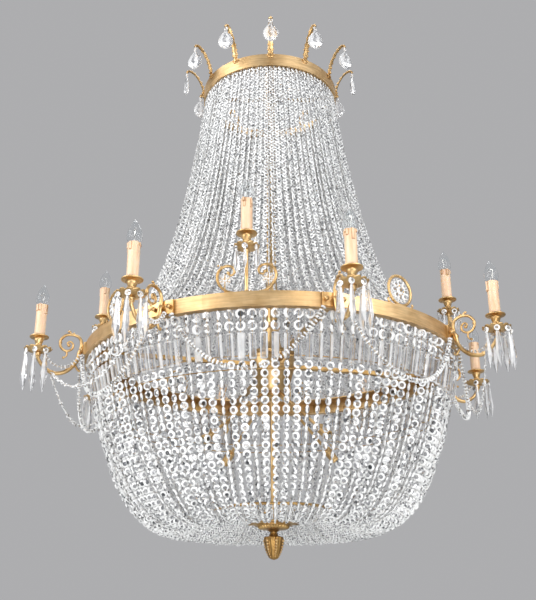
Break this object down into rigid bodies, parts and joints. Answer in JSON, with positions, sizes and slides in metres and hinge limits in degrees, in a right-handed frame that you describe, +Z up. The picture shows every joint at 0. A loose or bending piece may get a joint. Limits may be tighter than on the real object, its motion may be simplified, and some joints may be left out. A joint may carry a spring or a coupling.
{
  "type": "crystal chandelier",
  "caption": "Tent and basket crystal chandelier with candle lights on curved brass arms, garlands, a crown of leaves and almond drops, hung from an eye.",
  "frame": {"origin": "centre of the bore of the suspension eye", "axes": "+Z up along the stem; +X along the bore of the eye and towards one candle arm; the swing pin lies along Y"},
  "size_m": [1.2966, 1.2966, 1.5293],
  "materials": {
    "antique_brass": "aged, softly brushed",
    "polished_brass": "old gilt brass, satin with darker hollows",
    "steel": "zinc plated",
    "cap_metal": "bright nickel",
    "candle_white": "cream wax look",
    "black_plastic": "moulded",
    "clear_glass": "clear",
    "crystal": "cut and polished"
  },
  "bodies": {
    "suspension": {"suspension_eye": "antique_brass"},
    "chandelier": {"arm_brackets": "polished_brass", "arm_knobs": "polished_brass", "arm_scrolls": "polished_brass", "basket_octagons": "crystal", "basket_prisms": "crystal", "basket_strands": "crystal", "bead_garlands": "crystal", "bottom_dish": "polished_brass", "bottom_ring": "antique_brass", "bottom_rod": "antique_brass", "bottom_spider": "antique_brass", "bottom_strands": "crystal", "bulb_caps": "cap_metal", "bulb_glasses": "clear_glass", "bulb_stems": "clear_glass", "candle_arms": "polished_brass", "candle_cups": "polished_brass", "candle_sleeves": "candle_white", "clevis_pin": "steel", "crown_leaf_brackets": "polished_brass", "crown_ring": "polished_brass", "crown_spider": "antique_brass", "crystal_rosettes": "crystal", "drip_pans": "polished_brass", "finial": "polished_brass", "fixing_screws": "steel", "hub_bell": "polished_brass", "hub_bowl": "polished_brass", "hub_plate": "antique_brass", "hub_spokes": "antique_brass", "inner_lamp_arms": "antique_brass", "inner_lamp_holders": "polished_brass", "lamp_holders": "black_plastic", "lyre_scrolls": "polished_brass", "main_ring": "polished_brass", "pan_buttons": "crystal", "pan_spears": "crystal", "ring_splices": "antique_brass", "spacer_rings": "antique_brass", "stem_head": "antique_brass", "stem_tube": "antique_brass", "tent_strands": "crystal", "upright_pans": "polished_brass", "upright_stems": "polished_brass", "wreaths": "polished_brass"},
    "drop_01": {"crown_drop_01": "crystal"},
    "drop_02": {"crown_drop_02": "crystal"},
    "drop_03": {"crown_drop_03": "crystal"},
    "drop_04": {"crown_drop_04": "crystal"},
    "drop_05": {"crown_drop_05": "crystal"},
    "drop_06": {"crown_drop_06": "crystal"},
    "drop_07": {"crown_drop_07": "crystal"},
    "drop_08": {"crown_drop_08": "crystal"},
    "drop_09": {"crown_drop_09": "crystal"},
    "drop_10": {"crown_drop_10": "crystal"},
    "drop_11": {"crown_drop_11": "crystal"},
    "drop_12": {"crown_drop_12": "crystal"}
  },
  "joints": [
    {"name": "chandelier_swing", "type": "hinge", "parent": "suspension", "child": "chandelier", "pos_m": [0, 0, -0.052], "axis": [0, 1, 0], "range_deg": [-15, 15]},
    {"name": "drop_01_swing", "type": "hinge", "parent": "chandelier", "child": "drop_01", "pos_m": [0.24631, 0.066, -0.0535], "axis": [0.2588, -0.9659, 0], "range_deg": [-30, 60]},
    {"name": "drop_02_swing", "type": "hinge", "parent": "chandelier", "child": "drop_02", "pos_m": [0.18031, 0.18031, -0.0535], "axis": [0.7071, -0.7071, 0], "range_deg": [-30, 60]},
    {"name": "drop_03_swing", "type": "hinge", "parent": "chandelier", "child": "drop_03", "pos_m": [0.066, 0.24631, -0.0535], "axis": [0.9659, -0.2588, 0], "range_deg": [-30, 60]},
    {"name": "drop_04_swing", "type": "hinge", "parent": "chandelier", "child": "drop_04", "pos_m": [-0.066, 0.24631, -0.0535], "axis": [0.9659, 0.2588, 0], "range_deg": [-30, 60]},
    {"name": "drop_05_swing", "type": "hinge", "parent": "chandelier", "child": "drop_05", "pos_m": [-0.18031, 0.18031, -0.0535], "axis": [0.7071, 0.7071, 0], "range_deg": [-30, 60]},
    {"name": "drop_06_swing", "type": "hinge", "parent": "chandelier", "child": "drop_06", "pos_m": [-0.24631, 0.066, -0.0535], "axis": [0.2588, 0.9659, 0], "range_deg": [-30, 60]},
    {"name": "drop_07_swing", "type": "hinge", "parent": "chandelier", "child": "drop_07", "pos_m": [-0.24631, -0.066, -0.0535], "axis": [-0.2588, 0.9659, 0], "range_deg": [-30, 60]},
    {"name": "drop_08_swing", "type": "hinge", "parent": "chandelier", "child": "drop_08", "pos_m": [-0.18031, -0.18031, -0.0535], "axis": [-0.7071, 0.7071, 0], "range_deg": [-30, 60]},
    {"name": "drop_09_swing", "type": "hinge", "parent": "chandelier", "child": "drop_09", "pos_m": [-0.066, -0.24631, -0.0535], "axis": [-0.9659, 0.2588, 0], "range_deg": [-30, 60]},
    {"name": "drop_10_swing", "type": "hinge", "parent": "chandelier", "child": "drop_10", "pos_m": [0.066, -0.24631, -0.0535], "axis": [-0.9659, -0.2588, 0], "range_deg": [-30, 60]},
    {"name": "drop_11_swing", "type": "hinge", "parent": "chandelier", "child": "drop_11", "pos_m": [0.18031, -0.18031, -0.0535], "axis": [-0.7071, -0.7071, 0], "range_deg": [-30, 60]},
    {"name": "drop_12_swing", "type": "hinge", "parent": "chandelier", "child": "drop_12", "pos_m": [0.24631, -0.066, -0.0535], "axis": [-0.2588, -0.9659, 0], "range_deg": [-30, 60]}
  ]
}
